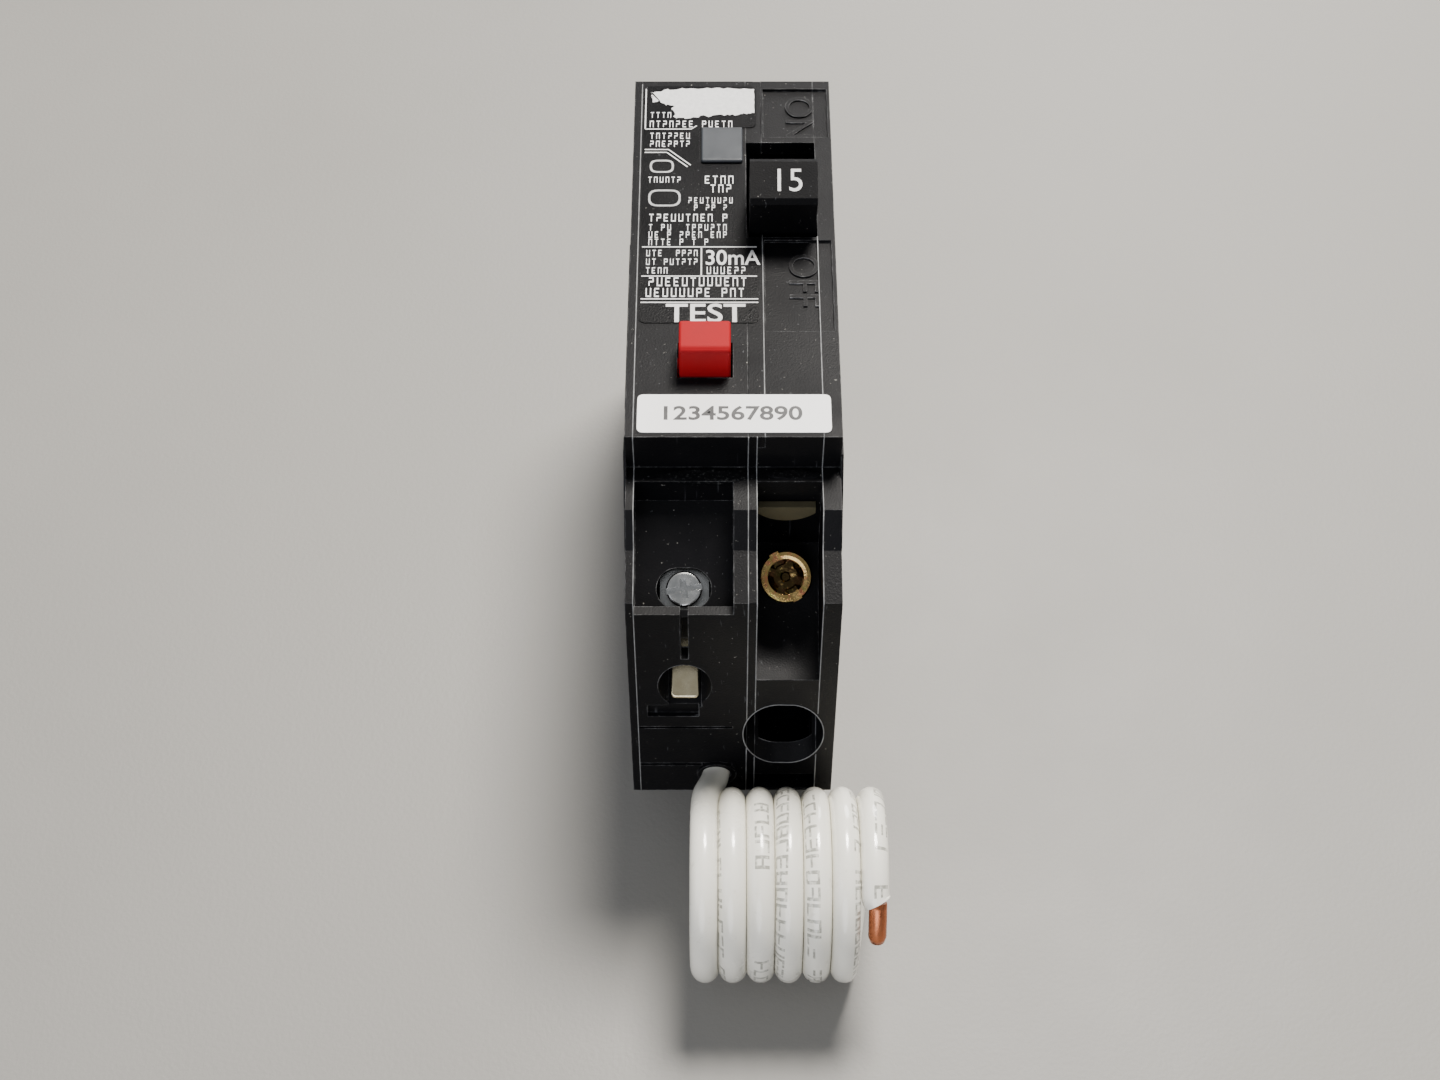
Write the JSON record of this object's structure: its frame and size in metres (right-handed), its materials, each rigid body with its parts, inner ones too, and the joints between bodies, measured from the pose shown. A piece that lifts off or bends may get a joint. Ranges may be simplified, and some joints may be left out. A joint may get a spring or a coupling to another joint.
{
  "type": "ground-fault circuit breaker",
  "caption": "Plug-on ground-fault circuit breaker with a tilting handle, a test button, two screw terminals and a coiled white pigtail.",
  "frame": {"origin": "bottom centre of the breaker's bounding box without the pigtail: the mounting back, centred", "axes": "+X towards the breaker side, +Y towards the line end (the load end and its pigtail are at -Y), +Z out of the face"},
  "size_m": [0.0316, 0.103, 0.0691],
  "materials": {
    "phenolic_case": "moulded, dull, faint grain",
    "phenolic_body": "moulded, dull",
    "handle_plastic": "moulded, fine satin",
    "red_plastic": "moulded, satin",
    "window_plastic": "translucent grey",
    "flag_plastic": "moulded",
    "black_label": "printed, glossy",
    "white_label": "paper, printed",
    "cream_plastic": "moulded",
    "steel": "plated",
    "bright_steel": "zinc plated",
    "yellow_zinc": "chromate, iridescent",
    "brass": "stamped",
    "copper": "drawn copper, slightly dull",
    "silver_contact": "contact alloy",
    "olive_strap": "passivated, dull",
    "board_green": "solder mask",
    "epoxy_black": "moulded",
    "epoxy_blue": "dipped",
    "copper_winding": "enamelled wire",
    "white_insulation": "PVC with a thin clear jacket"
  },
  "bodies": {
    "case": {"gfci_cover": "phenolic_case", "gfci_housing": "phenolic_body", "partition_plate": "phenolic_body", "breaker_frame": "phenolic_body", "breaker_cover": "phenolic_case", "case_rivets": "steel", "handle_pin": "steel", "arm_pin": "steel", "stationary_contact": "silver_contact", "line_strap": "copper", "stab_jaw": "copper", "jaw_spring": "steel", "cradle_pin": "steel", "bimetal": "steel", "magnet_yoke": "steel", "calibration_screw": "brass", "braid": "copper", "arc_plates": "steel", "load_strap": "olive_strap", "hot_lug": "brass", "neutral_lug": "bright_steel", "neutral_tongue": "brass", "circuit_board": "board_green", "sense_toroid": "epoxy_blue", "ground_toroid": "copper_winding", "ic_chip": "epoxy_black", "scr": "epoxy_black", "capacitors": "epoxy_blue", "resistors": "cream_plastic", "varistor": "epoxy_blue", "solenoid_coil": "copper_winding", "solenoid_frame": "steel", "plunger_spring": "steel", "link_pin": "steel", "test_spring": "steel", "test_contact": "brass", "indicator_window": "window_plastic", "nameplate_label": "black_label", "serial_sticker": "white_label", "pigtail_grommet": "phenolic_body", "pigtail_tube": "white_insulation", "pigtail_coil": "white_insulation", "pigtail_tail": "white_insulation", "pigtail_copper": "copper"},
    "handle": {"handle": "handle_plastic"},
    "contact_arm": {"contact_arm": "copper", "moving_contact": "silver_contact"},
    "cradle": {"cradle": "steel", "operating_spring": "steel"},
    "armature": {"armature": "steel"},
    "plunger": {"plunger": "bright_steel"},
    "trip_link": {"trip_link": "cream_plastic"},
    "flag": {"indicator_flag": "flag_plastic"},
    "test_button": {"test_button": "red_plastic"},
    "hot_foot": {"hot_foot": "steel"},
    "hot_screw": {"hot_screw": "yellow_zinc"},
    "neutral_foot": {"neutral_foot": "steel"},
    "neutral_screw": {"neutral_screw": "bright_steel"}
  },
  "joints": [
    {"name": "handle_throw", "type": "hinge", "parent": "case", "child": "handle", "pos_m": [0.0062, 0.0193, 0.05], "axis": [-1, 0, 0], "range_deg": [0, 38]},
    {"name": "arm_swing", "type": "hinge", "parent": "case", "child": "contact_arm", "pos_m": [0.0065, 0.016, 0.0375], "axis": [1, 0, 0], "range_deg": [0, 20]},
    {"name": "cradle_trip", "type": "hinge", "parent": "case", "child": "cradle", "pos_m": [0.004, 0.006, 0.046], "axis": [1, 0, 0], "range_deg": [0, 24]},
    {"name": "armature_pull", "type": "hinge", "parent": "case", "child": "armature", "pos_m": [0.007, -0.0024, 0.0345], "axis": [-1, 0, 0], "range_deg": [0, 4], "stiffness_Nm_per_rad": 0.002, "springref_deg": -2.86},
    {"name": "plunger_pull", "type": "slide", "parent": "case", "child": "plunger", "axis": [0, 0, -1], "range_m": [0, 0.0022], "stiffness_N_per_m": 60, "springref_m": -0.001, "deforming": ["plunger_spring"]},
    {"name": "link_swing", "type": "hinge", "parent": "case", "child": "trip_link", "pos_m": [-0.002, -0.003, 0.0145], "axis": [1, 0, 0], "range_deg": [0, 20]},
    {"name": "flag_slide", "type": "slide", "parent": "case", "child": "flag", "axis": [0, 1, 0], "range_m": [0, 0.0041]},
    {"name": "test_press", "type": "slide", "parent": "case", "child": "test_button", "axis": [0, 0, -1], "range_m": [0, 0.0015], "stiffness_N_per_m": 250, "springref_m": -0.002, "deforming": ["test_spring"]},
    {"name": "hot_clamp", "type": "slide", "parent": "case", "child": "hot_foot", "axis": [0, 0.5736, -0.8192], "range_m": [0, 0.0026]},
    {"name": "hot_turn", "type": "hinge", "parent": "hot_foot", "child": "hot_screw", "pos_m": [0.0062, -0.0276, 0.044], "axis": [0, 0.5736, -0.8192], "range_deg": [0, 1171]},
    {"name": "neutral_clamp", "type": "slide", "parent": "case", "child": "neutral_foot", "axis": [0, 0.5, -0.866], "range_m": [0, 0.002]},
    {"name": "neutral_turn", "type": "hinge", "parent": "neutral_foot", "child": "neutral_screw", "pos_m": [-0.00575, -0.0302, 0.0454], "axis": [0, 0.5, -0.866], "range_deg": [0, 901]}
  ],
  "couplings": [
    {"joint": "arm_swing", "follows": "handle_throw", "ratio": 0.526},
    {"joint": "link_swing", "follows": "plunger_pull", "rad_per_m": 152},
    {"joint": "flag_slide", "follows": "plunger_pull", "ratio": 1.818},
    {"joint": "hot_turn", "follows": "hot_clamp", "rad_per_m": 7854},
    {"joint": "neutral_turn", "follows": "neutral_clamp", "rad_per_m": 7854}
  ]
}
